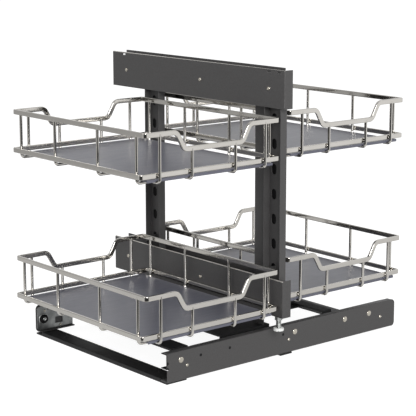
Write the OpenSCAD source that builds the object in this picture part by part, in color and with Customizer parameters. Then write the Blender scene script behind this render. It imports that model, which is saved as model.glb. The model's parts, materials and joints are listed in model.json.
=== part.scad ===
// Blind corner organizer: four wire baskets on a pull-out carriage with a sideways slide.
// X runs across the cabinet, Y into it (the front is -Y), Z up.
// The origin is the middle of the footprint on the cabinet floor. All sizes in millimetres.

/* [Overall] */
// Front of the front baskets' lower rails to the back of the rear baskets' lower rails
depth = 548; // [488:1:608]
// How far the base's rear end stays in front of that
base_in = 3.5; // [2:0.5:6]
// Thickness of the frame's sheet steel
sheet = 2; // [1.5:0.1:2.5]
// Running clearance between sliding members
run_gap = 0.2; // [0.15:0.05:0.25]

/* [Base] */
// Width of the base over both rails
base_w = 345; // [320:1:380]
// Length of the right rail
rail_len = 475; // [440:1:490]
// Height of the rails
rail_h = 45; // [43:1:50]
// Width of a rail's top lip
rail_lip = 10; // [8:0.5:10]
// Width of a rail's bottom flange
rail_foot = 16.5; // [12:0.5:18]
// Width of the left housing's foot
housing_foot = 8; // [6:0.5:10]
// Radius of the rail's rear corners and of the bracket plate's corners
rail_corner = 7; // [4:0.5:9]
// Thickness of the floor strips
strip_t = 2.5; // [2:0.1:3]
// Width of the front floor strip
front_strip_w = 37; // [34:1:44]
// Height of the front strip's turned-up lip
strip_lip_h = 6; // [5:0.5:8]
// Width of the middle floor strip
middle_strip_w = 24; // [20:1:30]
// Width of the rear floor strip
rear_strip_w = 40; // [34:1:50]
// Length of the left front bracket
bracket_len = 71; // [66:1:80]
// Diameter of the screw holes in the floor strips
screw_hole_d = 5; // [4.5:0.1:5.5]
// Distance between the two screw holes of a strip
screw_span = 240; // [200:1:260]
// Distance from the rails' front ends to the front strip's screw holes
front_screw_in = 25; // [20:1:28]
// Distance from the rails' front ends to the middle of the middle strip
middle_strip_in = 233; // [220:1:246]
// Length of the left bracket's zinc plate
plate_len = 68; // [64:1:70]

/* [Slides] */
// Thickness of the slide members
slide_t = 1.5; // [1.2:0.1:1.6]
// Height of the fixed slide member
slide_h = 23.3; // [22:0.1:24]
// Set-back of the moving members from the rail's front end
slide_set_back = 62; // [60:1:70]
// Diameter of the guide roller
roller_d = 14; // [12:0.5:15]
// Diameter of the guide roller's pin
roller_pin_d = 6.5; // [5:0.5:7]
// Height of the guide roller's centre above the rail's underside
roller_up = 21; // [19:0.5:24]
// Distance from the rail's front end to the guide roller's centre
roller_in = 13; // [12:0.5:16]
// Width of a slide, from the rail's wall to the outside of its inner member
slide_w = 23; // [22.5:0.1:24]
// Set-back of the slides from the base's rear end
slide_end_gap = 5; // [4:0.5:8]

/* [Carriage] */
// Height of the cross beams
beam_h = 3.5; // [3:0.5:5]
// Width of the front beam
front_beam_w = 31; // [26:1:40]
// Width of the middle beam
middle_beam_w = 100; // [80:1:110]
// Width of the rear beam
rear_beam_w = 20; // [16:1:26]
// Distance from the rails' front ends to the front beam
front_beam_in = 20; // [16:1:26]
// Distance from the slides' rear ends to the rear beam's front edge
rear_beam_in = 136; // [130:1:146]
// Width of the two straps under the beams
strap_w = 24; // [18:1:30]
// Distance from the middle to the straps' outer edges
strap_half = 94; // [88:1:104]
// Width of the left carriage post
carriage_post_w = 34; // [28:1:36]
// Width of the right carriage post
right_carriage_post_w = 52; // [46:1:53]
// Depth of the carriage posts
carriage_post_d = 10; // [9:0.5:10.5]
// Distance between the carriage posts' centres
carriage_post_span = 278.5; // [270:0.5:279]
// Sideways place of the middle between the carriage posts
carriage_post_mid = 13.25; // [10:0.25:13.5]

/* [Tracks] */
// Length of the tracks
track_w = 421; // [410:1:440]
// Height of the tracks
track_h = 57; // [52:1:60]
// Depth of the tracks
track_d = 30; // [29.5:0.1:32]
// Height of the lower track's underside above the floor
lower_track_z = 73; // [71:0.5:76]
// Height of the upper track's underside above the floor
upper_track_z = 388; // [387:0.5:392]
// Depth of the flange that closes the tracks' right ends
track_end_d = 16.5; // [16.5:0.5:20]
// Distance from the tracks' right ends to the ends of their rear walls
track_back_in = 30; // [26:1:31]
// Depth of the upper track's web below its top edges
web_drop = 8; // [6:0.5:10]

/* [Front frame] */
// Sideways place of the front baskets' middle, pushed fully right
front_mid = 42; // [36:0.5:42.5]
// Distance between the front posts' centres
front_post_span = 291; // [282:1:294]
// How far the middle between the front posts lies left of the baskets' middle
post_shift = 6.5; // [5:0.5:8]
// Width of the front posts
post_w = 37; // [34:1:39]
// Depth of the front posts
post_d = 12.5; // [11:0.5:13]
// Height of the middle slide bars inside the tracks
bar_h = 10; // [9:0.5:11]
// Width of a post's slots
slot_w = 10.5; // [9:0.5:12]
// Height of a post's slots
slot_h = 16; // [14:0.5:18]
// Distance from slot to slot
slot_pitch = 38; // [36:1:40]
// Height of the lowest slot's centre
slot_z = 142; // [140:1:146]

/* [Baskets] */
// Width of a basket
basket_w = 331; // [310:1:334]
// Depth of a basket
basket_d = 249; // [242:1:251]
// Clearance between the front baskets and the tracks
basket_gap = 5.2; // [5:0.1:6]
// Height of the lower front basket's top edge
basket_top_z = 149; // [147:0.5:152]
// How much higher the rear baskets sit than the front ones
rear_lift = 4; // [2:0.5:6]
// How much higher the lower rear basket hangs than the lower front one
lower_rear_lift = 7; // [5:0.5:8]
// Sideways place of the rear baskets' middle
rear_mid = 18; // [14:1:26]
// Thickness of the rails
rail_t = 4; // [3.5:0.1:4.5]
// Height of a top rail
top_h = 7.5; // [7:0.1:8]
// Height of a lower rail
ring_h = 7.5; // [6.5:0.1:8]
// Lower rail's top edge below the basket's top edge
ring_drop = 57.5; // [55:0.5:60]
// Corner radius of the rails
corner_r = 5.5; // [5:0.5:8]
// Diameter of the wires
wire_d = 4.6; // [4.2:0.1:4.8]
// Bend radius of the wires
wire_bend = 6; // [5:0.5:7]
// Distance from a basket's side to the first wire of its front
wire_in = 21; // [16:0.5:24]
// Distance between the two middle wires of a basket's front
wire_span = 107; // [90:1:120]
// Distance from a basket's front to the first wire of its side
side_wire_in = 27.5; // [22:0.5:32]
// Distance between the two middle wires of a basket's side
side_wire_span = 80; // [74:1:84]
// Depth of the scoop in a basket's side
scoop = 25; // [20:1:28]
// Distance from a basket's front to its scoop
scoop_start = 51; // [46:1:56]
// Bend radius in the scoop
scoop_r = 10; // [8:0.5:12]
// Steepest slope in the scoop
scoop_angle = 60; // [50:1:70]
// Thickness of a tray
tray_t = 2.5; // [2:0.1:3]
// Height of a tray's side edges
tray_edge = 4; // [3.5:0.5:5]
// Width of a rear basket hook
hook_w = 16; // [12:1:20]
// Height of a rear basket hook's plate
hook_plate_h = 20; // [16:1:20]

/* [Foot] */
// Diameter of the foot's pad
pad_d = 16; // [14:0.5:18]
// Height of the foot's pad
pad_h = 4.5; // [4:0.5:6]
// Diameter of the foot's stem
stem_d = 8; // [6:0.5:8.5]
// Sideways place of the foot
foot_x = 193; // [188:1:196]
// Height of the pad's underside
foot_z = 50; // [48:0.5:52]

/* [Fasteners] */
// Diameter of a large rivet head
rivet_d = 9; // [8:0.5:10]
// Diameter of a small rivet head
small_rivet_d = 5; // [4.5:0.5:6]
// Height of the rivet heads
rivet_h = 1.2; // [1:0.1:1.5]
// Height of the large rivets above the rail's underside
rivet_up = 31; // [29:0.5:33]
// Height of the small rivets above the rail's underside
small_rivet_up = 21; // [19:0.5:23]

/* [Hidden] */
$fn = 48;
eps = 0.01;

paint = [0.2, 0.2, 0.21];
zinc = [0.7, 0.72, 0.72];
chrome = [0.85, 0.85, 0.84];
slate = [0.36, 0.36, 0.42];
nylon = [0.93, 0.93, 0.92];

wire_gap = 0.15;
ring_out = rail_t / 2 + wire_d / 2 + wire_gap;
front_y = -depth / 2 + ring_out;
back_y = depth / 2 - base_in;
rail_y = back_y - rail_len;
half_w = base_w / 2;
rail_z = strip_t;
rail_top = rail_z + rail_h;
bracket_y = rail_y + bracket_len;
middle_strip_y = rail_y + middle_strip_in;
rear_screw_y = back_y - rear_strip_w / 2;
front_screw_y = rail_y + front_screw_in;
lip_gap = 0.5;
strip_under = 5;

lip_half = half_w - rail_foot - lip_gap;
slide_x = half_w - sheet;
slide_z = rail_top - sheet - run_gap - slide_h;
slide_y = rail_y + slide_set_back;
slide_back = back_y - slide_end_gap;
fixed_reach = 13.5;
middle_gap = 4.5;
middle_x = slide_x - slide_t - middle_gap;
middle_reach = 11.5;
inner_x = slide_x - slide_w;
inner_reach = 13.5;
plate_edge = 1;
plate_gap = 2;
plate_hole_in = 22;
plate_hole_down = 8;
plate_hole_d = 4;
window_in = 36;
window_w = 14;
window_h = 10;
window_drop = 6;
roller_gap = 0.05;
roller_t = 3.8;
roller_y = rail_y + roller_in;
roller_z = rail_z + roller_up;

strap_drop = 6.5;
strap_x = strap_half;
strap_z = rail_top - strap_drop;
beam_z = strap_z + sheet;
beam_top = beam_z + beam_h;
beam_half = inner_x - 2 * sheet;
front_beam_half = slide_x - fixed_reach - 1;
post_clear = 2;
tab_gap = 1;
tab_z = slide_z + 2 * (slide_t + run_gap) + tab_gap;
front_beam_y = rail_y + front_beam_in;
rear_beam_y = slide_back - rear_beam_in;

track_y = front_y + basket_d + basket_gap;
track_back = track_y + track_d;
carriage_post_y = track_back - sheet - carriage_post_d;
beam_edge = 3;
middle_beam_y = carriage_post_y + carriage_post_d + beam_edge - middle_beam_w;
upper_track_top = upper_track_z + track_h;
upper_web_z = upper_track_top - web_drop - sheet;
tab_left_in = 26.5;
tab_right_in = 38.5;
tab_end_in = 16.5;
tab_slot_x = [tab_left_in - track_w / 2, track_w / 2 - tab_right_in, track_w / 2 - tab_end_in];
tab_slot_w = 8;
tab_slot_h = 3;
tab_slot_drop = 3.5;
rivet_left_in = 37;
rivet_right_in = 35;
rivet_middle = 17;
track_rivet_x = [rivet_left_in - track_w / 2, rivet_middle, track_w / 2 - rivet_right_in];
track_rivet_z = 28;

bar_gap = 0.5;
bar_y = track_y + sheet + bar_gap;
bar_d = 14;
bar_end = 1;
bar_x = post_x(-1) - post_w / 2;
bar_len = front_mid + basket_w / 2 - bar_end - bar_x;
lower_bar_z = lower_track_z + sheet + run_gap;
runner_t = 3;
post_z = lower_bar_z + bar_h + run_gap + runner_t;
post_top = upper_web_z - bar_h - 2 * run_gap - runner_t;
post_in = 0.5;
post_y = bar_y + post_in;
web_y = post_y + post_d - slide_t;
slot_offset = -7.5;
slot_count = 7;

level_step = 6 * slot_pitch;
rear_gap = 1.45;
rear_basket_y = track_back + ring_out + rear_gap;
ring_in = rail_t / 2 + wire_d / 2 + wire_gap;
ring_z = -ring_drop - ring_h;
tray_gap = 1.5;
tray_top = ring_z - tray_gap;
wire_z = tray_top - tray_t - run_gap - wire_d / 2;
tray_in = 2;
tray_side = ring_in + tray_in;
tray_front = ring_in + rail_t + 0.05;
wire_x = [wire_in - basket_w / 2, -wire_span / 2, wire_span / 2, basket_w / 2 - wire_in];
wire_y = [side_wire_in - basket_d / 2, -side_wire_span / 2, side_wire_span / 2,
    basket_d / 2 - side_wire_in];
hook_len = 17;
hook_t = 2;
hook_lip = 4;
slot_hook_t = 4;
slot_hook_h = 8;
slot_hook_drop = 3;
slot_hook_in = 2.5;
slot_hook_tail = 6;

rail_rivet_z = rail_z + rivet_up;
small_rivet_z = rail_z + small_rivet_up;
// Distances from the rail's front end
rivets_in = [25, 251, 360, 415];
small_rivets_in = [36, 238, 441];
free_holes_in = [62, 118, 226];
rail_rivet_y = [for (d = rivets_in) rail_y + d];
small_rivet_y = [for (d = small_rivets_in) rail_y + d];
rail_hole_y = [for (d = free_holes_in) rail_y + d];
rail_hole_d = 4;
bite_d = 5.2;
bites_down = [16, 24.5];

nut_h = 6.5;
nut_wall = 4;
foot_y = track_y + track_end_d / 2;
stem_gap = 0.05;

// Mirrors its children to the left side
module left() mirror([1, 0, 0]) children();

// A cylinder along X that starts at x
module bar_along_x(x, y, z, d, len) {
    translate([x, y, z]) rotate([0, 90, 0]) cylinder(d = d, h = len);
}

// A channel along Y, open towards the middle: wall at the outside, two flanges reaching inwards
module channel_y(x, y, z, len, h, t, reach) {
    translate([x - t, y, z]) cube([t, len, h]);
    translate([x - t - reach, y, z]) cube([reach + eps, len, t]);
    translate([x - t - reach, y, z + h - t]) cube([reach + eps, len, t]);
}

// A rectangle in the Y-Z plane with rounded corners at its front or rear end, as a plate along X
module rounded_plate(x, y, z, len, h, t, r, front, rear) {
    y0 = front ? r : 0;
    y1 = rear ? len - r : len;
    translate([x, y + y0, z]) cube([t, y1 - y0, h]);
    if (front) rounded_end(x, y, z, h, t, r, r);
    if (rear) rounded_end(x, y + len - r, z, h, t, r, 0);
}

module rounded_end(x, y, z, h, t, r, centre) {
    translate([x, y, z + r]) cube([t, r, h - 2 * r]);
    for (dz = [r, h - r]) intersection() {
        bar_along_x(x, y + centre, z + dz, 2 * r, t);
        translate([x, y, z]) cube([t, r, h]);
    }
}

// Base

module base_right_rail() {
    color(paint) difference() {
        union() {
            rounded_plate(half_w - sheet, rail_y, rail_z, rail_len, rail_h, sheet, rail_corner,
                false, true);
            translate([half_w - rail_lip, rail_y, rail_top - sheet])
                cube([rail_lip - sheet + eps, rail_len - rail_corner, sheet]);
            translate([half_w - rail_foot, rail_y, rail_z])
                cube([rail_foot - sheet + eps, rail_len - rail_corner, sheet]);
        }
        for (y = rail_rivet_y)
            bar_along_x(half_w - 2 * sheet, y, rail_rivet_z, rail_hole_d, 3 * sheet);
        for (y = small_rivet_y)
            bar_along_x(half_w - 2 * sheet, y, small_rivet_z, rail_hole_d / 2, 3 * sheet);
        for (y = rail_hole_y)
            bar_along_x(half_w - 2 * sheet, y, rail_rivet_z, rail_hole_d, 3 * sheet);
        for (d = bites_down)
            bar_along_x(half_w - 2 * sheet, rail_y, rail_top - d, bite_d, 3 * sheet);
    }
}

module floor_strip(y, w, half, screw_y) {
    color(paint) difference() {
        translate([-half, y, 0]) cube([2 * half, w, strip_t]);
        for (x = [-screw_span / 2, screw_span / 2])
            translate([x, screw_y, -1]) cylinder(d = screw_hole_d, h = strip_t + 2);
    }
}

module base_front_strip() {
    floor_strip(rail_y, front_strip_w, half_w - sheet, front_screw_y);
    color(paint) translate([-lip_half, rail_y, 0]) cube([2 * lip_half, strip_t, strip_lip_h]);
}

module base_middle_strip() {
    floor_strip(middle_strip_y - middle_strip_w / 2, middle_strip_w, half_w, middle_strip_y);
}

module base_rear_strip() {
    floor_strip(back_y - rear_strip_w, rear_strip_w, half_w - rail_foot + strip_under, rear_screw_y);
}

module left_front_housing() {
    color(paint) left() {
        rounded_plate(half_w - sheet, rail_y, rail_z, bracket_len, rail_h, sheet, rail_corner,
            true, false);
        translate([half_w - rail_lip, rail_y + rail_corner, rail_top - sheet])
            cube([rail_lip - sheet + eps, bracket_len - rail_corner, sheet]);
        translate([half_w - housing_foot, rail_y + rail_corner, rail_z])
            cube([housing_foot - sheet + eps, bracket_len - rail_corner, sheet]);
    }
}

module left_front_plate() {
    plate_z = rail_z + sheet + plate_edge / 2;
    plate_h = rail_h - 2 * sheet - plate_edge;
    color(zinc) left() difference() {
        rounded_plate(slide_x - slide_t, rail_y + plate_edge, plate_z, plate_len, plate_h, slide_t,
            rail_corner - plate_edge, true, false);
        bar_along_x(slide_x - 3 * slide_t, rail_y + plate_hole_in, rail_top - plate_hole_down,
            plate_hole_d, 4 * slide_t);
        translate([slide_x - 3 * slide_t, rail_y + window_in, roller_z - window_drop - window_h / 2])
            cube([4 * slide_t, window_w, window_h]);
    }
}

module left_rear_bracket() {
    y = back_y - rear_strip_w;
    color(paint) left() {
        translate([slide_x, y, rail_z]) cube([sheet, rear_strip_w, rail_h]);
        translate([half_w - rail_foot, y, rail_z])
            cube([rail_foot - sheet + eps, rear_strip_w, sheet]);
    }
}

module left_roller_pin() {
    color(zinc) left()
        bar_along_x(slide_x - slide_t - roller_t - 2 * run_gap, roller_y, roller_z, roller_pin_d,
            roller_t + 2 * run_gap);
}

module left_roller() {
    x = slide_x - slide_t - roller_t - run_gap;
    color(paint) left() difference() {
        bar_along_x(x, roller_y, roller_z, roller_d, roller_t);
        bar_along_x(x - 1, roller_y, roller_z, roller_pin_d + 2 * roller_gap, roller_t + 2);
    }
}

module rail_rivets() {
    color(zinc) {
        for (y = rail_rivet_y) rivet(y, rail_rivet_z, rivet_d, rail_hole_d);
        for (y = small_rivet_y) rivet(y, small_rivet_z, small_rivet_d, rail_hole_d / 2);
    }
}

module rivet(y, z, head, hole) {
    bar_along_x(half_w, y, z, head, rivet_h);
    bar_along_x(half_w - sheet, y, z, hole - 2 * roller_gap, sheet + eps);
}

// Slides

module slide_fixed(y) {
    channel_y(slide_x, y, slide_z, slide_back - y, slide_h, slide_t, fixed_reach - slide_t);
}

module slide_middle() {
    step = slide_t + run_gap;
    channel_y(middle_x, slide_y, slide_z + step, slide_back - slide_y, slide_h - 2 * step, slide_t,
        middle_reach - slide_t);
}

module slide_inner() {
    step = 2 * (slide_t + run_gap);
    len = slide_back - slide_y;
    h = slide_h - 2 * step;
    translate([inner_x, slide_y, slide_z + step]) {
        cube([slide_t, len, h]);
        cube([inner_reach, len, slide_t]);
        translate([0, 0, h - slide_t]) cube([inner_reach, len, slide_t]);
    }
}

module right_slide_fixed() color(paint) slide_fixed(rail_y);
module left_slide_fixed() color(paint) left() slide_fixed(rail_y + plate_len + plate_gap);
module right_slide_middle() color(paint) slide_middle();
module left_slide_middle() color(paint) left() slide_middle();
module right_slide_inner() color(paint) slide_inner();
module left_slide_inner() color(paint) left() slide_inner();

// Carriage

module carriage_straps() {
    color(paint) for (x = [-strap_x, strap_x - strap_w])
        translate([x, front_beam_y, strap_z])
            cube([strap_w, rear_beam_y + rear_beam_w - front_beam_y, sheet]);
}

// An inverted channel across the carriage, with a tab down to each inner slide member
module beam(y, w, tabs, half = beam_half) {
    color(paint) difference() {
        union() {
            translate([-half, y, beam_z]) cube([2 * half, w, beam_h]);
            if (tabs) for (x = [-inner_x, inner_x - sheet]) translate([x, y, tab_z])
                cube([sheet, w, beam_top - tab_z]);
            if (tabs) translate([-inner_x, y, beam_top - sheet]) cube([2 * inner_x, w, sheet]);
        }
        translate([-half - eps, y + sheet, beam_z - eps])
            cube([2 * half + 2 * eps, w - 2 * sheet, beam_h - sheet]);
    }
}

module carriage_front_beam() beam(front_beam_y, front_beam_w, false, front_beam_half);
module carriage_middle_beam() beam(middle_beam_y, middle_beam_w, true);
module carriage_rear_beam() beam(rear_beam_y, rear_beam_w, true);

function carriage_post_x(side) = carriage_post_mid + side * carriage_post_span / 2;
function carriage_post_width(side) = side < 0 ? carriage_post_w : right_carriage_post_w;

module carriage_post(side) {
    w = carriage_post_width(side);
    h = upper_web_z - beam_top;
    color(paint) translate([carriage_post_x(side) - w / 2, carriage_post_y, beam_top]) difference() {
        cube([w, carriage_post_d, h]);
        translate([sheet, sheet, -1]) cube([w - 2 * sheet, carriage_post_d, h + 2]);
        if (side > 0) translate([inner_x - carriage_post_x(side) + w / 2, -1, -1])
            cube([w, carriage_post_d + 2, lower_track_z - post_clear - beam_top + 1]);
    }
}

module carriage_left_post() carriage_post(-1);
module carriage_right_post() carriage_post(1);

// A track: front wall, rear wall, one web (at its foot or near its top) and a flange at the right end.
// The rear wall and the rear part of the web stop short of the right end.
module track(z, web_z) {
    back_w = track_w - track_back_in;
    translate([-track_w / 2, track_y, z]) {
        cube([track_w, sheet, track_h]);
        translate([0, track_d - sheet, 0]) cube([back_w, sheet, track_h]);
        translate([0, 0, web_z]) cube([back_w, track_d, sheet]);
        translate([back_w - eps, 0, web_z]) cube([track_back_in + eps, track_end_d, sheet]);
        translate([track_w - sheet, 0, 0]) cube([sheet, track_end_d, track_h]);
    }
}

module track_holes(z) {
    for (x = track_rivet_x) translate([x, track_y - 1, z + track_rivet_z]) rotate([-90, 0, 0])
        cylinder(d = rail_hole_d, h = sheet + 2);
}

module lower_track() {
    color(paint) difference() {
        track(lower_track_z, 0);
        track_holes(lower_track_z);
        for (side = [-1, 1]) translate([
            carriage_post_x(side) - carriage_post_width(side) / 2 - run_gap,
            carriage_post_y - run_gap, lower_track_z - 1])
                cube([carriage_post_width(side) + 2 * run_gap, carriage_post_d + run_gap, sheet + 2]);
    }
}

module upper_track() {
    color(paint) difference() {
        track(upper_track_z, upper_web_z - upper_track_z);
        track_holes(upper_track_z);
        for (x = tab_slot_x) translate([x, track_y - 1, upper_track_top - sheet - tab_slot_drop])
            cube([tab_slot_w, sheet + 2, tab_slot_h]);
    }
}

module track_rivets() {
    color(zinc) for (z = [lower_track_z, upper_track_z], x = track_rivet_x)
        translate([x, track_y, z + track_rivet_z]) rotate([-90, 0, 0]) {
            translate([0, 0, -rivet_h]) cylinder(d = small_rivet_d + 1, h = rivet_h);
            translate([0, 0, -eps]) cylinder(d = rail_hole_d - 2 * roller_gap, h = sheet);
        }
}

// Foot under the lower track's right end

module foot_nut() {
    color(zinc) translate([foot_x, foot_y, lower_track_z - nut_h]) difference() {
        linear_extrude(nut_h) circle(d = stem_d + nut_wall, $fn = 6);
        translate([0, 0, -1]) cylinder(d = stem_d + 2 * stem_gap, h = nut_h + 2);
    }
}

module foot_stem() {
    z = foot_z + pad_h / 2;
    color(zinc) translate([foot_x, foot_y, z])
        cylinder(d = stem_d, h = lower_track_z - run_gap - z);
}

module foot_pad() {
    color(nylon) translate([foot_x, foot_y, foot_z]) difference() {
        cylinder(d = pad_d, h = pad_h);
        translate([0, 0, pad_h / 2]) cylinder(d = stem_d + 2 * stem_gap, h = pad_h);
    }
}

// Front frame

// A slide bar that lies in the lower track: a channel open at its top
module slide_bar() {
    difference() {
        cube([bar_len, bar_d, bar_h]);
        translate([-1, slide_t, slide_t]) cube([bar_len + 2, bar_d - 2 * slide_t, bar_h]);
    }
}

// A runner whose rib runs in the slide bar and whose flat carries the posts
module runner() {
    inset = slide_t + run_gap;
    rib_h = bar_h - slide_t;
    translate([0, inset, inset]) cube([bar_len, bar_d - 2 * inset, rib_h + eps]);
    translate([0, 0, bar_h + run_gap]) cube([bar_len, bar_d, runner_t]);
}

module in_lower_track() translate([bar_x, bar_y, lower_bar_z]) children();
module in_upper_track() translate([bar_x, bar_y, upper_web_z - run_gap]) mirror([0, 0, 1]) children();

module lower_slide_bar() color(zinc) in_lower_track() slide_bar();
module upper_slide_bar() color(zinc) in_upper_track() slide_bar();
module lower_runner() color(zinc) in_lower_track() runner();
module upper_runner() color(zinc) in_upper_track() runner();

function post_x(side) = front_mid - post_shift + side * front_post_span / 2;

module front_post(x) {
    h = post_top - post_z;
    color(paint) translate([x - post_w / 2, post_y, post_z]) difference() {
        cube([post_w, post_d, h]);
        translate([slide_t, -1, -1])
            cube([post_w - 2 * slide_t, post_d - slide_t + 1, h + 2]);
        for (i = [0 : slot_count - 1])
            translate([post_w / 2 + slot_offset, post_d + 1, slot_z + i * slot_pitch - post_z])
                rotate([90, 0, 0]) slot_cutter();
    }
}

// A slot with round ends
module slot_cutter() {
    end = (slot_h - slot_w) / 2;
    linear_extrude(2 * slide_t) {
        square([slot_w, slot_h - slot_w], center = true);
        for (dz = [-end, end]) translate([0, dz]) circle(d = slot_w);
    }
}

module front_left_post() front_post(post_x(-1));
module front_right_post() front_post(post_x(1));

// A rear hook: a plate on the post, an arm over the basket's rail and a lip beyond it.
// It points along -Y; reach is the distance from the post to the rail's near face.
module hook(reach, plate_w) {
    translate([-plate_w / 2, -hook_t, -hook_plate_h]) cube([plate_w, hook_t, hook_plate_h + hook_t]);
    translate([-hook_w / 2, -reach - rail_t - hook_t, 0])
        cube([hook_w, reach + rail_t + hook_t, hook_t]);
    translate([-hook_w / 2, -reach - rail_t - hook_t, -hook_lip])
        cube([hook_w, hook_t, hook_lip + eps]);
}

// A front hook: a tab from the basket's rear rail through a post's slot, with a tail behind the web
module front_hooks() {
    rail_back = front_y + basket_d;
    tail_y = web_y + slide_t + run_gap;
    color(paint) for (side = [-1, 1], level = [0, 1])
        translate([post_x(side) + slot_offset + slot_hook_in - slot_hook_t / 2, 0,
            basket_top_z + level * level_step - slot_hook_drop - slot_hook_h]) {
                translate([0, rail_back, 0])
                    cube([slot_hook_t, tail_y + slide_t - rail_back, slot_hook_h]);
                translate([0, tail_y, -slot_hook_tail])
                    cube([slot_hook_t, slide_t, slot_hook_tail + eps]);
            }
}

// The rear hooks' plates lie across the posts' two flange edges
module rear_hooks() {
    color(paint) for (side = [-1, 1], level = [0, 1])
        translate([carriage_post_x(side), track_back - sheet, rear_top(level)])
            rotate([0, 0, 180]) hook(rear_basket_y - track_back + sheet, carriage_post_width(side));
}

// Baskets: drawn with the middle of the front edge at the origin and the top edge at Z = 0

module front_basket(level) {
    translate([front_mid, front_y, basket_top_z + level * level_step]) children();
}

function rear_top(level) =
    basket_top_z + level * level_step + (level == 0 ? lower_rear_lift : rear_lift);

module rear_basket(level) {
    translate([rear_mid, rear_basket_y, rear_top(level)]) children();
}

// Four rounded corners and the straight runs along X of a rail that lies inset from the outline,
// by side_in at the sides and by end_in at the front and the back
module rail_frame(side_in, end_in, h) {
    r = corner_r;
    w = basket_w / 2 - side_in;
    for (y = [end_in, basket_d - end_in - rail_t])
        translate([r - w, y, -h]) cube([2 * (w - r), rail_t, h]);
    for (turn = [[1, basket_d - end_in - r, 0], [-1, basket_d - end_in - r, 90],
        [-1, end_in + r, 180], [1, end_in + r, 270]])
            translate([turn[0] * (w - r), turn[1], -h]) rotate([0, 0, turn[2]])
                rotate_extrude(angle = 90) translate([r - rail_t, 0]) square([rail_t, h]);
}

// Points of a bend from the upper to the lower level, off above or below its centre line
function bend_run() = 2 * scoop_r * sin(scoop_angle) + bend_flat() * cos(scoop_angle);
function bend_flat() = (scoop - 2 * scoop_r * (1 - cos(scoop_angle))) / sin(scoop_angle);
function bend(off) = concat(
    [for (i = [0 : 6]) let (a = 90 - i * scoop_angle / 6)
        [(scoop_r + off) * cos(a), -scoop_r + (scoop_r + off) * sin(a)]],
    [for (i = [0 : 6]) let (a = 270 - scoop_angle + i * scoop_angle / 6)
        [bend_run() + (scoop_r - off) * cos(a), scoop_r - scoop + (scoop_r - off) * sin(a)]]);

// One edge of a scooped side, from front to back
function scoop_edge(off) = let (half = [for (p = bend(off)) [p[0] + scoop_start, p[1]]])
    concat([[corner_r, off]], half,
        [for (i = [len(half) - 1 : -1 : 0]) [basket_d - half[i][0], half[i][1]]],
        [[basket_d - corner_r, off]]);

module scooped_side() {
    upper = scoop_edge(top_h / 2);
    lower = scoop_edge(-top_h / 2);
    rotate([90, 0, 90]) linear_extrude(rail_t) translate([0, -top_h / 2])
        polygon(concat(upper, [for (i = [len(lower) - 1 : -1 : 0]) lower[i]]));
}

module basket_rail() {
    color(chrome) {
        rail_frame(0, 0, top_h);
        for (x = [-basket_w / 2, basket_w / 2 - rail_t]) translate([x, 0, 0]) scooped_side();
    }
}

// The lower rail lies outside the front and rear wires and inside the side wires
module basket_ring() {
    run = basket_d + 2 * (ring_out - corner_r);
    color(chrome) translate([0, 0, -ring_drop]) {
        rail_frame(ring_in, -ring_out, ring_h);
        for (x = [ring_in - basket_w / 2, basket_w / 2 - ring_in - rail_t])
            translate([x, corner_r - ring_out, -ring_h]) cube([rail_t, run, ring_h]);
    }
}

// A wire that comes down from a top rail and turns inwards under the tray, in the Y-Z plane
module down_wire(top, run) {
    translate([0, 0, wire_z + wire_bend]) cylinder(d = wire_d, h = top - wire_z - wire_bend);
    translate([0, wire_bend, wire_z + wire_bend]) rotate([90, 0, -90]) rotate([0, 0, 270])
        rotate_extrude(angle = 90) translate([wire_bend, 0]) circle(d = wire_d);
    translate([0, wire_bend, wire_z]) rotate([-90, 0, 0])
        cylinder(d = wire_d, h = run - wire_bend);
}

module basket_wires() {
    half = basket_d / 2 - rail_t / 2;
    color(chrome) {
        for (x = wire_x) translate([x, basket_d / 2, 0]) for (turn = [0, 180]) rotate([0, 0, turn])
            translate([0, -half, 0]) down_wire(-top_h, half + eps);
        for (y = wire_y, turn = [90, -90]) translate([0, basket_d / 2 + y, 0]) rotate([0, 0, turn])
            translate([0, rail_t / 2 - basket_w / 2, 0])
                down_wire(-top_h - (abs(y) < basket_d / 4 ? scoop : 0), hook_len - rail_t / 2);
    }
}

module basket_tray() {
    half = basket_w / 2 - tray_side;
    len = basket_d - 2 * tray_front;
    color(slate) difference() {
        union() {
            translate([-half, tray_front, tray_top - tray_t]) cube([2 * half, len, tray_t]);
            for (x = [-half, half - slide_t]) translate([x, tray_front, tray_top - tray_edge])
                cube([slide_t, len, tray_edge]);
        }
        for (y = wire_y) translate([-half - 1, basket_d / 2 + y - wire_d * 0.75,
            tray_top - tray_edge - 1]) cube([2 * half + 2, wire_d * 1.5, tray_edge + 1 - tray_t]);
    }
}

module lower_front_basket_rail() front_basket(0) basket_rail();
module lower_front_basket_ring() front_basket(0) basket_ring();
module lower_front_basket_wires() front_basket(0) basket_wires();
module lower_front_basket_tray() front_basket(0) basket_tray();
module upper_front_basket_rail() front_basket(1) basket_rail();
module upper_front_basket_ring() front_basket(1) basket_ring();
module upper_front_basket_wires() front_basket(1) basket_wires();
module upper_front_basket_tray() front_basket(1) basket_tray();
module lower_rear_basket_rail() rear_basket(0) basket_rail();
module lower_rear_basket_ring() rear_basket(0) basket_ring();
module lower_rear_basket_wires() rear_basket(0) basket_wires();
module lower_rear_basket_tray() rear_basket(0) basket_tray();
module upper_rear_basket_rail() rear_basket(1) basket_rail();
module upper_rear_basket_ring() rear_basket(1) basket_ring();
module upper_rear_basket_wires() rear_basket(1) basket_wires();
module upper_rear_basket_tray() rear_basket(1) basket_tray();

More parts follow.
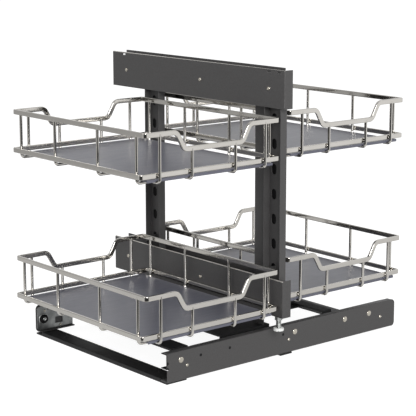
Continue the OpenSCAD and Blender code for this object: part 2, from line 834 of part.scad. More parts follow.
base_right_rail();
base_front_strip();
base_middle_strip();
base_rear_strip();
left_front_housing();
left_front_plate();
left_rear_bracket();
left_roller_pin();
left_roller();
right_slide_fixed();
left_slide_fixed();
right_slide_middle();
left_slide_middle();
right_slide_inner();
left_slide_inner();
rail_rivets();
carriage_straps();
carriage_front_beam();
carriage_middle_beam();
carriage_rear_beam();
carriage_left_post();
carriage_right_post();
lower_track();
upper_track();
track_rivets();
foot_nut();
foot_stem();
foot_pad();
lower_slide_bar();
upper_slide_bar();
lower_runner();
upper_runner();
front_left_post();
front_right_post();
front_hooks();
rear_hooks();
lower_front_basket_rail();
lower_front_basket_ring();
lower_front_basket_wires();
lower_front_basket_tray();
upper_front_basket_rail();
upper_front_basket_ring();
upper_front_basket_wires();
upper_front_basket_tray();
lower_rear_basket_rail();
lower_rear_basket_ring();
lower_rear_basket_wires();
lower_rear_basket_tray();
upper_rear_basket_rail();
upper_rear_basket_ring();
upper_rear_basket_wires();
upper_rear_basket_tray();
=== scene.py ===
import json
import math

import bmesh
import bpy
from mathutils import Matrix, Vector

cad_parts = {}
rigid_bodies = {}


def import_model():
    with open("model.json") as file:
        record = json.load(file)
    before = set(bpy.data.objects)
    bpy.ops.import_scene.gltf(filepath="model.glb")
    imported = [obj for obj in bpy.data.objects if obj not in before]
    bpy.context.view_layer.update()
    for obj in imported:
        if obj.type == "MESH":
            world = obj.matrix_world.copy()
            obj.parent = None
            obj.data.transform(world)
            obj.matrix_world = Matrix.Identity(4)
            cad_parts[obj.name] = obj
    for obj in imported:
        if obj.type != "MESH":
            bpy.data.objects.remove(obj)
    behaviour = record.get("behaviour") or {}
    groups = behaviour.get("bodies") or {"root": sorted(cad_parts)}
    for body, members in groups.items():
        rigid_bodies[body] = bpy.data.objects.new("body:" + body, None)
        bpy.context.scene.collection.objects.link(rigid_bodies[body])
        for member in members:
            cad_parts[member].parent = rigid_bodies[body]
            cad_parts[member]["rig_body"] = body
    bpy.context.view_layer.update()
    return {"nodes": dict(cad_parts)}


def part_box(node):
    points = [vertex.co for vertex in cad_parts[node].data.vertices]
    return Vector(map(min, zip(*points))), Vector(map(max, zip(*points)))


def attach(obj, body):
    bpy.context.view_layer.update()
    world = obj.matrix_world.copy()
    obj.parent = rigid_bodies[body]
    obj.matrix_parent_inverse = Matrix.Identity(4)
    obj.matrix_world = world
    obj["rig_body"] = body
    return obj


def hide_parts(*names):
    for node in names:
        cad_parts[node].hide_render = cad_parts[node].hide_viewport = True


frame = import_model()
NODES = frame["nodes"]
MM = 0.001
X, Y, Z = Vector((1, 0, 0)), Vector((0, 1, 0)), Vector((0, 0, 1))
# Points closer than this are one point
SAME_POINT = 0.001 * MM


# Finishes

# Noise mostly lies between these two values
NOISE_SPAN = (0.3, 0.7)
# Depth of the grit's relief
RELIEF = 0.4 * MM


def linear(code):
    """An sRGB hex code as a linear colour."""
    parts = [int(code[i:i + 2], 16) / 255 for i in (0, 2, 4)]
    return [*(c / 12.92 if c <= 0.04045 else ((c + 0.055) / 1.055) ** 2.4 for c in parts), 1]


def add(tree, kind, settings=None, feeds=None, stops=()):
    """Adds a node with its settings, what feeds its sockets and its colour stops."""
    made = tree.nodes.new("ShaderNode" + kind)
    for key, value in (settings or {}).items():
        setattr(made, key, value)
    for key, value in (feeds or {}).items():
        if isinstance(value, bpy.types.NodeSocket):
            tree.links.new(value, made.inputs[key])
        else:
            made.inputs[key].default_value = value
    if stops:
        for point, (place, code) in zip(made.color_ramp.elements, stops):
            point.position, point.color = place, linear(code)
    return made


def finish(name, metallic, tones, tone_mm, gloss, gloss_mm, grit_mm, grit, run=(1, 1, 1), **fixed):
    """A surface whose tone and gloss drift between two values, with a grit in relief.

    The sizes are those of the patches and grains in millimetres, and run packs them along an axis."""
    made = bpy.data.materials.new(name)
    made.use_nodes = True
    tree = made.node_tree
    shader = tree.nodes["Principled BSDF"]
    for key, value in {"Metallic": metallic, **fixed}.items():
        shader.inputs[key.replace("_", " ")].default_value = value
    place = add(tree, "TexCoord").outputs["Object"]
    place = add(tree, "Mapping", {}, {"Vector": place, "Scale": run}).outputs["Vector"]
    patches, drift, grains = (
        add(tree, "TexNoise", {}, {"Vector": place, "Scale": 1 / (size * MM), "Detail": detail})
        for size, detail in ((tone_mm, 3), (gloss_mm, 3), (grit_mm, 2)))
    colour = add(tree, "ValToRGB", {}, {"Fac": patches.outputs["Fac"]}, tuple(zip(NOISE_SPAN, tones)))
    shine = add(tree, "MapRange", {},
                {"Value": drift.outputs["Fac"], "To Min": gloss[0], "To Max": gloss[1]})
    relief = add(tree, "Bump", {},
                 {"Strength": grit, "Distance": RELIEF, "Height": grains.outputs["Fac"]})
    tree.links.new(colour.outputs["Color"], shader.inputs["Base Color"])
    tree.links.new(shine.outputs["Result"], shader.inputs["Roughness"])
    tree.links.new(relief.outputs["Normal"], shader.inputs["Normal"])
    return made


# Every grit is drawn at about 1 mm, coarser than the real one, so that it shows

# Baked powder coat on sheet steel: satin, with a fine orange peel, which is really about 0.5 mm
COAT = finish("satin_powder_coat", 0, ("3a3939", "424141"), 1.6, (0.36, 0.48), 35, 0.9, 0.12)
# Paint on what lies low between the rails, made blacker than the powder coat as painted shade from the
# baskets and trays above, and flatter
PAINT_DARKENED_AS_SHADE = finish("paint_darkened_as_shade", 0, ("161616", "1d1d1e"), 2.2, (0.46, 0.6), 30, 0.9, 0.1,
                   Specular_IOR_Level=0.35)
# A pale metallic colour on the up-facing faces of a track's rolled top: a painted highlight, where light
# from above catches the roll
PAINTED_TOP_HIGHLIGHT = finish("painted_highlight_on_rolled_top", 0.6, ("c0bdb7", "d6d3cd"), 3, (0.3, 0.42), 6, 0.7, 0.1)
# Chrome on drawn steel: a mirror with faint draw marks
CHROME = finish("bright_chrome_plate", 1, ("c3c0ba", "cac7c2"), 40, (0.05, 0.11), 18, 1.4, 0.03)
# Bright zinc: cloudy spangle of a few millimetres and a soft mirror
ZINC = finish("bright_zinc_plate", 1, ("a6a8a7", "bfc1bf"), 5, (0.22, 0.36), 7, 1.0, 0.06)
# Zinc on the roller's plate, greyer and duller than the rest: painted shade, as the plate lies in the
# shade under the basket
ZINC_DARKENED_AS_SHADE = finish("zinc_darkened_as_shade", 1, ("7a7c7c", "9c9e9d"), 9, (0.34, 0.5), 7, 1.0, 0.08)
# Nickel on the rivet heads: warmer and smoother than zinc
NICKEL = finish("nickel_plated_rivet", 1, ("b3ada2", "cdc7bb"), 3, (0.18, 0.3), 5, 0.8, 0.05)
# Melamine board: smooth and cool, with a faint grain that runs from front to back
SLATE = finish("slate_melamine_board", 0, ("52535e", "595a65"), 30, (0.28, 0.38), 25, 1.0, 0.05,
               (6, 1, 1))
# Moulded nylon: even tone, fine matt spark from the mould
WHITE_NYLON = finish("white_moulded_nylon", 0, ("dcdddb", "e6e7e5"), 12, (0.38, 0.5), 8, 0.9, 0.08)
# Black nylon of the roller's tyre. The same black, with a low specular, is painted shade in the rail's
# holes and behind the posts' slots
BLACK_NYLON_AND_SHADE = finish("black_nylon_and_painted_shade", 0, ("0a0a0b", "121213"), 11, (0.42, 0.56), 8, 0.9, 0.08,
                     Specular_IOR_Level=0.2)


# Ways of making a piece

# Faces that meet at less than this are shaded as one
SMOOTH_ANGLE = math.radians(38)
# Edges of a solid that turn more than this are broken
SHARP_ANGLE = math.radians(40)
# Facets that turn less than this are one face
FLAT_ANGLE = math.radians(0.8)
# Usual width of a broken edge
BROKEN = 0.35 * MM
BEND_STEPS, BROKEN_STEPS = 4, 2
# A bar or wire gets a step for each of these degrees of a bend
STEP_DEGREES = 9
WIRE_SIDES = 16


def piece(name, bm, finishes, body, nodes=()):
    """Turns a mesh into a piece that rides on a body and stands for the nodes."""
    bmesh.ops.recalc_face_normals(bm, faces=bm.faces)
    mesh = bpy.data.meshes.new(name)
    bm.to_mesh(mesh)
    bm.free()
    mesh.shade_smooth()
    mesh.set_sharp_from_angle(angle=SMOOTH_ANGLE)
    for worn in finishes:
        mesh.materials.append(worn)
    made = bpy.data.objects.new(name, mesh)
    bpy.context.scene.collection.objects.link(made)
    made.modifiers.new("even", "WEIGHTED_NORMAL").keep_sharp = True
    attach(made, body)
    if nodes:
        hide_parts(*nodes)


def is_sharp(edge):
    return len(edge.link_faces) == 2 and edge.calc_face_angle() > SHARP_ANGLE


def round_edges(bm, edges, width, segments):
    bmesh.ops.bevel(bm, geom=edges, offset=width, segments=segments, profile=0.5, affect="EDGES",
                    clamp_overlap=False, material=-1)


def formed(node, worn, width=BROKEN, bends=(), highlight_test=None):
    """A node's sheet metal with its cut edges broken and its bends rolled.

    A bend is a radius and a test on an edge's ends. A last test, on a face's normal and middle, picks the
    faces that get the pale painted highlight."""
    bm = bmesh.new()
    bm.from_mesh(NODES[node].data)
    bmesh.ops.remove_doubles(bm, verts=bm.verts, dist=SAME_POINT)
    bmesh.ops.dissolve_limit(bm, angle_limit=FLAT_ANGLE, verts=bm.verts, edges=bm.edges)
    for radius, test in bends:
        round_edges(bm, [e for e in bm.edges if is_sharp(e) and test(e.verts[0].co, e.verts[1].co)],
                    radius, BEND_STEPS)
    round_edges(bm, [e for e in bm.edges if is_sharp(e)], width, BROKEN_STEPS)
    # An edge that is broken beside a bend can stand a hair proud of the sheet
    low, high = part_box(node)
    for vert in bm.verts:
        vert.co = [min(max(c, a), b) for c, a, b in zip(vert.co, low, high)]
    bm.normal_update()
    # Faces picked by the highlight test take the second material, the painted highlight
    for face in bm.faces:
        face.material_index = int(highlight_test is not None and highlight_test(face.normal, face.calc_center_median()))
    piece(node + "_formed", bm, (worn, PAINTED_TOP_HIGHLIGHT) if highlight_test else (worn,), NODES[node]["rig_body"], [node])


def turned(bm, centre, axis, profile, steps=40, closed=False):
    """Turns a profile of (along, radius) points in millimetres round an axis through centre."""
    side = axis.orthogonal().normalized()
    points = [bm.verts.new(centre + (axis * along + side * radius) * MM) for along, radius in profile]
    ends = points[1:] + points[:1] if closed else points[1:]
    edges = [bm.edges.new(pair) for pair in zip(points, ends)]
    bmesh.ops.spin(bm, geom=points + edges, cent=centre, axis=axis, angle=2 * math.pi, steps=steps,
                   use_merge=True, use_duplicate=False)
    bmesh.ops.remove_doubles(bm, verts=bm.verts, dist=SAME_POINT)


def pushed(bm, loop, at, heading, moves):
    """Pushes a loop of edges along runs, which are lengths, and round bends, which are a radius, an
    axis and an angle in degrees. Returns the last loop."""
    for move in moves:
        if isinstance(move, tuple):
            radius, axis, angle = move
            centre = at + axis.cross(heading) * radius
            turn = Matrix.Rotation(math.radians(angle), 3, axis)
            corners = list(dict.fromkeys(v for e in loop for v in e.verts))
            made = bmesh.ops.spin(bm, geom=corners + loop, cent=centre, axis=axis,
                                  angle=math.radians(angle),
                                  steps=max(BEND_STEPS, round(abs(angle) / STEP_DEGREES)),
                                  use_merge=False, use_duplicate=False)["geom_last"]
            at, heading = centre + turn @ (at - centre), turn @ heading
        else:
            made = bmesh.ops.extrude_edge_only(bm, edges=loop)["geom"]
            bmesh.ops.translate(bm, verts=[v for v in made if isinstance(v, bmesh.types.BMVert)],
                                vec=heading * move)
            at = at + heading * move
        ends = {v for v in made if isinstance(v, bmesh.types.BMVert)}
        loop = [e for e in made if isinstance(e, bmesh.types.BMEdge) and ends.issuperset(e.verts)]
    return loop


def flat_bar(bm, at, thick, height, radius, moves):
    """A flat bar with rounded edges that sets off along X and comes back to where it began."""
    corners = bmesh.ops.create_grid(bm, x_segments=1, y_segments=1, size=0.5)["verts"]
    upright = Matrix.Translation(at) @ Matrix((Y * thick, Z * height, X)).transposed().to_4x4()
    bmesh.ops.transform(bm, matrix=upright, verts=corners)
    bmesh.ops.bevel(bm, geom=corners, offset=radius, segments=BEND_STEPS, profile=0.5,
                    affect="VERTICES", material=-1)
    bmesh.ops.delete(bm, geom=bm.faces[:], context="FACES_ONLY")
    pushed(bm, bm.edges[:], at, X, moves)
    bmesh.ops.remove_doubles(bm, verts=bm.verts, dist=SAME_POINT)


def rod(bm, at, heading, diameter, moves):
    """A round wire with flat ends."""
    place = Matrix.Translation(at) @ heading.to_track_quat("Z", "Y").to_matrix().to_4x4()
    ring = bmesh.ops.create_circle(bm, cap_ends=False, segments=WIRE_SIDES, radius=diameter / 2,
                                   matrix=place)
    first = list(dict.fromkeys(e for v in ring["verts"] for e in v.link_edges))
    last = pushed(bm, first, at, heading, moves)
    for loop in (first, last):
        bmesh.ops.contextual_create(bm, geom=loop)


# Frame

# Thickness of the sheet, radius of its bends and radius of the tracks' rolled tops
SHEET, BEND, ROLL = 2 * MM, 1.8 * MM, 1.4 * MM
# Places closer than this are level with each other
SLACK = 0.2 * MM
# Edges longer than this run along a part
LONG = 10 * MM
# A face counts as a top where its normal points upwards by at least this much
UPWARD = 0.35

rail_low, rail_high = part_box("base_right_rail")
upper_low, upper_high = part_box("upper_track")
lower_low, lower_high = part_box("lower_track")


def near(a, b):
    return abs(a - b) < SLACK


def rail_bend(side):
    """The long outer edges of a rail on one side."""
    x = rail_high.x * side
    return lambda a, b: (near(a.x, x) and near(b.x, x) and near(a.z, b.z) and abs(a.y - b.y) > LONG
                         and (near(a.z, rail_low.z) or near(a.z, rail_high.z)))


def end_bend(a, b):
    """The upright edge between a track's front wall and its end flange."""
    return all(near(p.x, upper_high.x) and near(p.y, upper_low.y) for p in (a, b))


def foot_bend(a, b):
    """The long edges at the lower track's foot."""
    return (near(a.z, lower_low.z) and near(b.z, lower_low.z) and near(a.y, b.y)
            and abs(a.x - b.x) > LONG and (near(a.y, lower_low.y) or near(a.y, lower_high.y)))


def top_roll(top):
    """The long front edge at the top of a track's front wall."""
    return lambda a, b: (near(a.z, top) and near(b.z, top) and near(a.y, upper_low.y)
                         and near(b.y, upper_low.y) and abs(a.x - b.x) > LONG)


def highlight_on_roll(top):
    """The up-facing faces of a track's rolled top, which get a painted highlight."""
    return lambda normal, middle: (normal.z > UPWARD and middle.z > top - ROLL - SLACK
                                   and middle.y < upper_low.y + SHEET + SLACK / 2)


formed("base_right_rail", COAT, bends=[(BEND, rail_bend(1))])
formed("left_front_housing", COAT, bends=[(BEND, rail_bend(-1))])
# The tracks' rolled tops carry the painted highlight on their up-facing faces
formed("upper_track", COAT, bends=[(BEND, end_bend), (ROLL, top_roll(upper_high.z))],
       highlight_test=highlight_on_roll(upper_high.z))
formed("lower_track", COAT, bends=[(BEND, end_bend), (BEND, foot_bend), (ROLL, top_roll(lower_high.z))],
       highlight_test=highlight_on_roll(lower_high.z))
for name in ("carriage_left_post", "carriage_right_post", "front_left_post", "front_right_post",
             "front_hooks", "rear_hooks"):
    formed(name, COAT)
# The low parts take paint darkened as painted shade
for name in ("base_front_strip", "base_middle_strip", "base_rear_strip", "left_rear_bracket",
             "right_slide_fixed", "left_slide_fixed", "right_slide_middle", "left_slide_middle",
             "right_slide_inner", "left_slide_inner", "carriage_straps", "carriage_front_beam",
             "carriage_middle_beam", "carriage_rear_beam"):
    formed(name, PAINT_DARKENED_AS_SHADE)
for name in ("lower_slide_bar", "upper_slide_bar", "lower_runner", "upper_runner", "foot_nut"):
    formed(name, ZINC, width=0.25 * MM)
# The roller's plate takes zinc darkened as painted shade
formed("left_front_plate", ZINC_DARKENED_AS_SHADE, width=0.5 * MM)


# Rivets

def rivet(bm, at, axis, radius, height, shank):
    """A domed head with a shallow dimple, on its shank through the sheet."""
    r, h = radius, height
    turned(bm, at, axis, ((-2, 0), (-2, shank), (0, shank), (0, r), (0.25 * h, r), (0.6 * h, 0.93 * r),
                          (0.88 * h, 0.75 * r), (h, 0.45 * r), (0.97 * h, 0.26 * r), (0.8 * h, 0.18 * r),
                          (0.78 * h, 0)), 32)


# Height of the heads
HEAD_H = 1.2
# Rows on the rail's wall: height, radius of the heads and shanks, places from the rail's front end
RAIL_RIVETS = ((31, 4.5, 1.95, (25, 251, 360, 415)), (21, 2.5, 0.95, (36, 238, 441)))
# On the tracks' front walls: height, places from the left end, the middle and the right end
TRACK_UP, FROM_LEFT, FROM_MIDDLE, FROM_RIGHT = 28 * MM, 37 * MM, 17 * MM, 35 * MM
TRACK_HEAD, TRACK_SHANK = 3.1, 1.95
bm = bmesh.new()
for up, radius, shank, places in RAIL_RIVETS:
    for back in places:
        at = Vector((rail_high.x, rail_low.y + back * MM, rail_low.z + up * MM))
        rivet(bm, at, X, radius, HEAD_H, shank)
piece("rail_rivet_heads", bm, (NICKEL,), "base", ["rail_rivets"])

bm = bmesh.new()
for z in (lower_low.z, upper_low.z):
    for x in (upper_low.x + FROM_LEFT, FROM_MIDDLE, upper_high.x - FROM_RIGHT):
        rivet(bm, Vector((x, upper_low.y, z + TRACK_UP)), -Y, TRACK_HEAD, HEAD_H, TRACK_SHANK)
piece("track_rivet_heads", bm, (NICKEL,), "carriage", ["track_rivets"])


# Painted shade in black: plugs that fill the rail's free holes, and a sheet on the carriage posts behind
# the front posts' slots, so that holes and slots show dark

# The free holes: height, and places from the rail's front end
HOLE_UP, RAIL_HOLES = 31, (62, 118, 226)
bm = bmesh.new()
for back in RAIL_HOLES:
    at = Vector((rail_high.x, rail_low.y + back * MM, rail_low.z + HOLE_UP * MM))
    turned(bm, at, X, ((-1.9, 0), (-1.9, 1.9), (0, 1.9), (0, 2.3), (0.15, 2.3), (0.25, 2.1), (0.1, 1.5),
                       (0.1, 0)), 24)
piece("rail_hole_painted_shade", bm, (BLACK_NYLON_AND_SHADE,), "base")

# The slots lie left of a front post's middle. The black sheet of painted shade starts left of them and
# ends at the carriage post
SHADE_SHEET, SHADE_SHEET_EDGE = 0.4 * MM, 0.12 * MM
SLOT_OFF, SHADE_SHEET_SIDE, SHADE_SHEET_IN, SHADE_SHEET_END = 7.5 * MM, 9 * MM, 0.6 * MM, 4 * MM
bm = bmesh.new()
for post in ("left", "right"):
    post_low, post_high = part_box(f"carriage_{post}_post")
    web_low, web_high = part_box(f"front_{post}_post")
    left = (web_low.x + web_high.x) / 2 - SLOT_OFF - SHADE_SHEET_SIDE
    right = post_high.x - SHADE_SHEET_IN
    low, high = web_low.z + SHADE_SHEET_END, web_high.z - SHADE_SHEET_END
    shade_sheet = bmesh.ops.create_cube(bm, size=1)["verts"]
    bmesh.ops.scale(bm, vec=(right - left, SHADE_SHEET, high - low), verts=shade_sheet)
    bmesh.ops.translate(bm, vec=((left + right) / 2, post_low.y - SHADE_SHEET / 2, (low + high) / 2), verts=shade_sheet)
round_edges(bm, bm.edges[:], SHADE_SHEET_EDGE, BROKEN_STEPS)
piece("post_slot_painted_shade", bm, (BLACK_NYLON_AND_SHADE,), "carriage")


# Foot

stem_low, stem_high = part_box("foot_stem")
foot = Vector(((stem_low.x + stem_high.x) / 2, (stem_low.y + stem_high.y) / 2, stem_low.z))
stem_r = (stem_high.x - stem_low.x) / 2
# One turn of the thread: places along its pitch, and depths in millimetres
THREAD = ((0, 0.5), (0.4, 0), (0.6, 0), (1, 0.5))
PITCH, PER_TURN = 1.25 * MM, 24
turns = math.ceil((stem_high.z - stem_low.z) / PITCH) + 2
bm = bmesh.new()
points = [bm.verts.new(foot + X * (stem_r - deep * MM) + Z * (up - 1) * PITCH)
          for up, deep in THREAD]
edges = [bm.edges.new(pair) for pair in zip(points, points[1:])]
bmesh.ops.spin(bm, geom=points + edges, cent=foot, axis=Z, dvec=Z * PITCH / PER_TURN,
               angle=2 * math.pi * turns, steps=PER_TURN * turns, use_merge=False, use_duplicate=False)
bmesh.ops.remove_doubles(bm, verts=bm.verts, dist=SAME_POINT)
for z, below in ((stem_low.z, True), (stem_high.z, False)):
    bmesh.ops.bisect_plane(bm, geom=bm.verts[:] + bm.edges[:] + bm.faces[:], plane_co=Z * z, plane_no=Z,
                           clear_inner=below, clear_outer=not below)
bmesh.ops.holes_fill(bm, edges=[e for e in bm.edges if e.is_boundary], sides=0)
piece("foot_threaded_stem", bm, (ZINC,), "foot", ["foot_stem"])

pad_low, pad_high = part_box("foot_pad")
pad_r, pad_h = (pad_high.x - pad_low.x) / 2 / MM, (pad_high.z - pad_low.z) / MM
socket_r = stem_r / MM + 0.1
bm = bmesh.new()
turned(bm, Vector((foot.x, foot.y, pad_low.z)), Z,
       ((0.3, 0), (0.3, pad_r - 2.2), (0, pad_r - 1.8), (0, pad_r - 0.6), (0.2, pad_r - 0.2),
        (0.6, pad_r), (pad_h - 1.1, pad_r), (pad_h - 0.6, pad_r - 0.15), (pad_h - 0.35, pad_r - 0.6),
        (pad_h - 0.25, socket_r + 1.4), (pad_h, socket_r + 1), (pad_h, socket_r), (pad_h / 2, socket_r),
        (pad_h / 2, 0)), 48)
piece("foot_moulded_pad", bm, (WHITE_NYLON,), "foot", ["foot_pad"])


# Guide roller of the left bracket

roller_low, roller_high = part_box("left_roller")
pin_low, pin_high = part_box("left_roller_pin")
plate_low, plate_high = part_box("left_front_plate")
hub = Vector((0, (roller_low.y + roller_high.y) / 2, (roller_low.z + roller_high.z) / 2))
tyre_r, tyre_t = (roller_high.y - roller_low.y) / 2 / MM, (roller_high.x - roller_low.x) / MM
pin_r, pin_t = (pin_high.y - pin_low.y) / 2 / MM, (pin_high.x - pin_low.x) / MM
# One face of the tyre and half its tread, which the other half mirrors
half_tyre = ((0, pin_r + 0.05), (0, tyre_r - 1.8), (0.15, tyre_r - 1.5), (0, tyre_r - 1.2),
             (0, tyre_r - 0.6), (0.25, tyre_r - 0.15), (0.6, tyre_r), (1.5, tyre_r), (1.9, tyre_r - 0.2))
other_half = ((tyre_t - along, radius) for along, radius in half_tyre[-2::-1])
bm = bmesh.new()
turned(bm, hub + X * roller_low.x, X, [*half_tyre, *other_half], 48, True)
piece("left_roller_tyre", bm, (BLACK_NYLON_AND_SHADE,), "roller", ["left_roller"])

bm = bmesh.new()
turned(bm, hub + X * pin_high.x, -X,
       ((0.55, 0), (0.5, 1.1), (0.1, 1.5), (0, 2.1), (0.15, pin_r - 0.25), (0.4, pin_r), (pin_t, pin_r),
        (pin_t, 0)), 40)
piece("left_roller_axle", bm, (ZINC,), "base", ["left_roller_pin"])

# A pressed rim round the roller stiffens the plate
bm = bmesh.new()
turned(bm, hub + X * plate_high.x, X,
       ((0, tyre_r + 0.6), (0.9, tyre_r + 0.6), (1.3, tyre_r + 0.9), (1.3, tyre_r + 1.4),
        (0.9, tyre_r + 1.8), (0, tyre_r + 2.2)), 48, True)
piece("left_plate_pressed_rim", bm, (ZINC,), "base")

# Two small rivets hold the plate: places back and up from the roller's middle
PLATE_RIVETS = ((2.5, 13), (32.5, -15))
PLATE_HEAD, PLATE_HEAD_H, PLATE_SHANK = 1.9, 1.1, 1.2
bm = bmesh.new()
for back, up in PLATE_RIVETS:
    at = hub + X * plate_high.x + (Y * back + Z * up) * MM
    rivet(bm, at, X, PLATE_HEAD, PLATE_HEAD_H, PLATE_SHANK)
piece("left_plate_rivets", bm, (NICKEL,), "base")


# Baskets

# The bars: thickness, radius of their edges, height of the top one, outer radius of the corners
BAR, BAR_EDGE, TOP_H, CORNER = 4 * MM, 1.2 * MM, 7.5 * MM, 5.5 * MM
# The dip in a side: depth, distance from the corner, radius of its bends, slope in degrees
DIP, DIP_START, DIP_BEND, DIP_SLOPE = 25 * MM, 51 * MM, 10 * MM, 60
# The wires: thickness, radius of their bends, reach of the side ones under the tray
WIRE, WIRE_BEND, HOOK = 4.6 * MM, 6 * MM, 17 * MM
# The welds: radius, distance from a wire's middle along the bar and across it
BEAD, BEAD_ALONG, BEAD_ACROSS = 1.1 * MM, 1.9 * MM, 2 * MM
# Places of the wires across the front and along a side, from the middle, and whether they meet the dip
FRONT_WIRES = (-144.5, -53.5, 53.5, 144.5)
SIDE_WIRES = ((-97, False), (-40, True), (40, True), (97, False))
slope = math.radians(DIP_SLOPE)
dip_flat = (DIP - 2 * DIP_BEND * (1 - math.cos(slope))) / math.sin(slope)
dip_run = 2 * DIP_BEND * math.sin(slope) + dip_flat * math.cos(slope)


def side_moves(length, axis, dip):
    """A basket's side from corner to corner, down into its dip and up again."""
    if not dip:
        return [length - 2 * CORNER]
    down = [DIP_START - CORNER, (DIP_BEND, -axis, DIP_SLOPE), dip_flat, (DIP_BEND, axis, DIP_SLOPE)]
    up = [(DIP_BEND, axis, DIP_SLOPE), dip_flat, (DIP_BEND, -axis, DIP_SLOPE), DIP_START - CORNER]
    return [*down, length - 2 * (DIP_START + dip_run), *up]


def basket_bar(name, low, high, height, dip, body, node):
    """A bar round a basket, from the middle of its front."""
    width, length = high.x - low.x, high.y - low.y
    turn = (CORNER - BAR / 2, Z, 90)
    half = width / 2 - CORNER
    bm = bmesh.new()
    start = Vector(((low.x + high.x) / 2, low.y + BAR / 2, high.z - height / 2))
    flat_bar(bm, start, BAR, height, BAR_EDGE,
             [half, turn, *side_moves(length, X, dip), turn, 2 * half, turn,
              *side_moves(length, -X, dip), turn, half])
    piece(name, bm, (CHROME,), body, [node])


def bead(bm, at):
    """A small weld where a wire meets a bar."""
    bmesh.ops.create_icosphere(bm, subdivisions=2, radius=BEAD, matrix=Matrix.Translation(at))


for name in ("lower_front", "upper_front", "lower_rear", "upper_rear"):
    rail, ring, wires, tray = (f"{name}_basket_{part}" for part in ("rail", "ring", "wires", "tray"))
    body = NODES[rail]["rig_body"]
    low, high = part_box(rail)
    basket_bar(name + "_basket_top_bar", low, high, TOP_H, True, body, rail)
    ring_low, ring_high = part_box(ring)
    basket_bar(name + "_basket_low_bar", ring_low, ring_high, ring_high.z - ring_low.z, False, body,
               ring)
    formed(tray, SLATE, width=0.4 * MM)

    middle = (low + high) / 2
    foot_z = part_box(wires)[0].z + WIRE / 2
    top = high.z - TOP_H / 2
    front, back = low.y + BAR / 2, high.y - BAR / 2
    drop = top - foot_z - WIRE_BEND
    ring_z = (ring_low.z + ring_high.z) / 2
    bm = bmesh.new()
    for place in FRONT_WIRES:
        x = middle.x + place * MM
        rod(bm, Vector((x, front, top)), -Z, WIRE,
            [drop, (WIRE_BEND, X, 90), back - front - 2 * WIRE_BEND, (WIRE_BEND, X, 90), drop])
        for y, out in ((front, -1), (back, 1)):
            for dx in (-1, 1):
                bead(bm, Vector((x + dx * BEAD_ALONG, y + out * BEAD_ACROSS, ring_z)))
    for place, dipped in SIDE_WIRES:
        for side, x in ((1, high.x - BAR / 2), (-1, low.x + BAR / 2)):
            start = top - (DIP if dipped else 0)
            y = middle.y + place * MM
            rod(bm, Vector((x, y, start)), -Z, WIRE,
                [start - foot_z - WIRE_BEND, (WIRE_BEND, Y * side, 90), HOOK - WIRE_BEND - BAR / 2])
            for dy in (-1, 1):
                bead(bm, Vector((x - side * BEAD_ACROSS, y + dy * BEAD_ALONG, ring_z)))
    piece(name + "_basket_rods", bm, (CHROME,), body, [wires])


# Studio

# The lamps aim at the middle of the object
MIDDLE = Vector((0, 0, 0.2))
FLOOR_HALF, FLOOR_DOWN = 40, 0.6 * MM
# The way from the object to the studio's dark side
DARK_SIDE = (0.77, -0.64, 0)
CAMERA_AT, CAMERA_AIM = Vector((1.7454, -1.44135, 0.6638)), Vector((0.039, -0.00855, 0.240))


def area_light(name, at, size, power):
    data = bpy.data.lights.new(name, "AREA")
    data.shape = "SQUARE"
    data.size = size
    data.energy = power
    made = bpy.data.objects.new(name, data)
    made.location = at
    made.rotation_euler = (MIDDLE - Vector(at)).to_track_quat("-Z", "Y").to_euler()
    bpy.context.scene.collection.objects.link(made)


def shown(tree, lit, mirrored, viewed):
    """What a backdrop gives: lit to the pieces' own colour, mirrored to metal and glass, viewed to
    the camera."""
    path = add(tree, "LightPath").outputs
    mirror = add(tree, "Math", {"operation": "MAXIMUM"},
                 {0: path["Is Glossy Ray"], 1: path["Is Transmission Ray"]}).outputs[0]
    inner = add(tree, "Mix", {}, {0: mirror, 2: lit, 3: mirrored}).outputs[0]
    return add(tree, "Mix", {}, {0: path["Is Camera Ray"], 2: inner, 3: viewed}).outputs[0]


scene = bpy.context.scene
scene.view_settings.view_transform = "Standard"
world = bpy.data.worlds.new("studio")
scene.world = world
world.use_nodes = True
tree = world.node_tree
sky = tree.nodes["Background"]
sky.inputs["Color"].default_value = (1, 1, 1, 1)
# The backdrop is white behind the object and the room is darker in front, which plating mirrors
back = add(tree, "SeparateXYZ", {}, {0: add(tree, "TexCoord").outputs["Generated"]}).outputs["Y"]
room = add(tree, "MapRange", {}, {"Value": back, "From Min": -1, "To Min": 0.3, "To Max": 1.0})
tree.links.new(shown(tree, lit=0.5, mirrored=room.outputs[0], viewed=1.0), sky.inputs["Strength"])
area_light("key", at=(3.1, -1.4, 1.5), size=1.8, power=135)
area_light("fill", at=(-0.6, -3.2, 1.6), size=2.4, power=35)

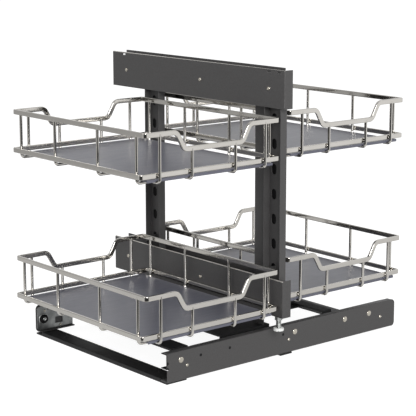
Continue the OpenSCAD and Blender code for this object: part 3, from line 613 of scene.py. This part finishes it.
bm = bmesh.new()
bmesh.ops.create_grid(bm, x_segments=2, y_segments=2, size=FLOOR_HALF)
floor_mesh = bpy.data.meshes.new("floor")
bm.to_mesh(floor_mesh)
bm.free()
floor = bpy.data.objects.new("floor", floor_mesh)
floor.location.z = -FLOOR_DOWN
scene.collection.objects.link(floor)
pale = bpy.data.materials.new("pale_floor")
pale.use_nodes = True
tree = pale.node_tree
shader = tree.nodes["Principled BSDF"]
shader.inputs["Roughness"].default_value = 1.0
shader.inputs["Specular IOR Level"].default_value = 0.0
shader.inputs["Emission Color"].default_value = (1, 1, 1, 1)
# As the plating sees it, the paper is brighter to the right: a painted pool of light from the key lamp on
# that side. On the dark side it ends about half a metre from the middle, and the plating mirrors the room
# beyond
place = add(tree, "TexCoord").outputs["Object"]
across = add(tree, "SeparateXYZ", {}, {0: place}).outputs["X"]
bright = add(tree, "MapRange", {}, {"Value": across, "From Min": -1.5, "From Max": 1.5,
                                    "To Min": 0.5, "To Max": 1.05}).outputs[0]
outward = add(tree, "VectorMath", {"operation": "NORMALIZE"}, {0: place}).outputs["Vector"]
towards = add(tree, "VectorMath", {"operation": "DOT_PRODUCT"},
              {0: outward, 1: DARK_SIDE}).outputs["Value"]
distance = add(tree, "VectorMath", {"operation": "LENGTH"}, {0: place}).outputs["Value"]
far = add(tree, "MapRange", {}, {"Value": distance, "From Min": 0.4, "From Max": 0.65}).outputs[0]
beyond = add(tree, "Math", {"operation": "MULTIPLY"}, {0: towards, 1: far}).outputs[0]
paper = add(tree, "MapRange", {}, {"Value": beyond, "From Min": 0.66, "From Max": 0.84,
                                   "To Min": 1, "To Max": 0.05}).outputs[0]
mirrored = add(tree, "Math", {"operation": "MULTIPLY"}, {0: bright, 1: paper}).outputs[0]
tree.links.new(shown(tree, lit=0.3, mirrored=0.0, viewed=0.3), shader.inputs["Base Color"])
tree.links.new(shown(tree, lit=0.0, mirrored=mirrored, viewed=0.92), shader.inputs["Emission Strength"])
floor_mesh.materials.append(pale)

camera_data = bpy.data.cameras.new("camera")
camera_data.sensor_width = 36
camera_data.lens = 125.3
camera_data.shift_x = -0.0103
camera_data.shift_y = -0.0375
camera_data.clip_end = 200
camera = bpy.data.objects.new("camera", camera_data)
camera.location = CAMERA_AT
camera.rotation_euler = (CAMERA_AIM - CAMERA_AT).to_track_quat("-Z", "Y").to_euler()
scene.collection.objects.link(camera)
scene.camera = camera
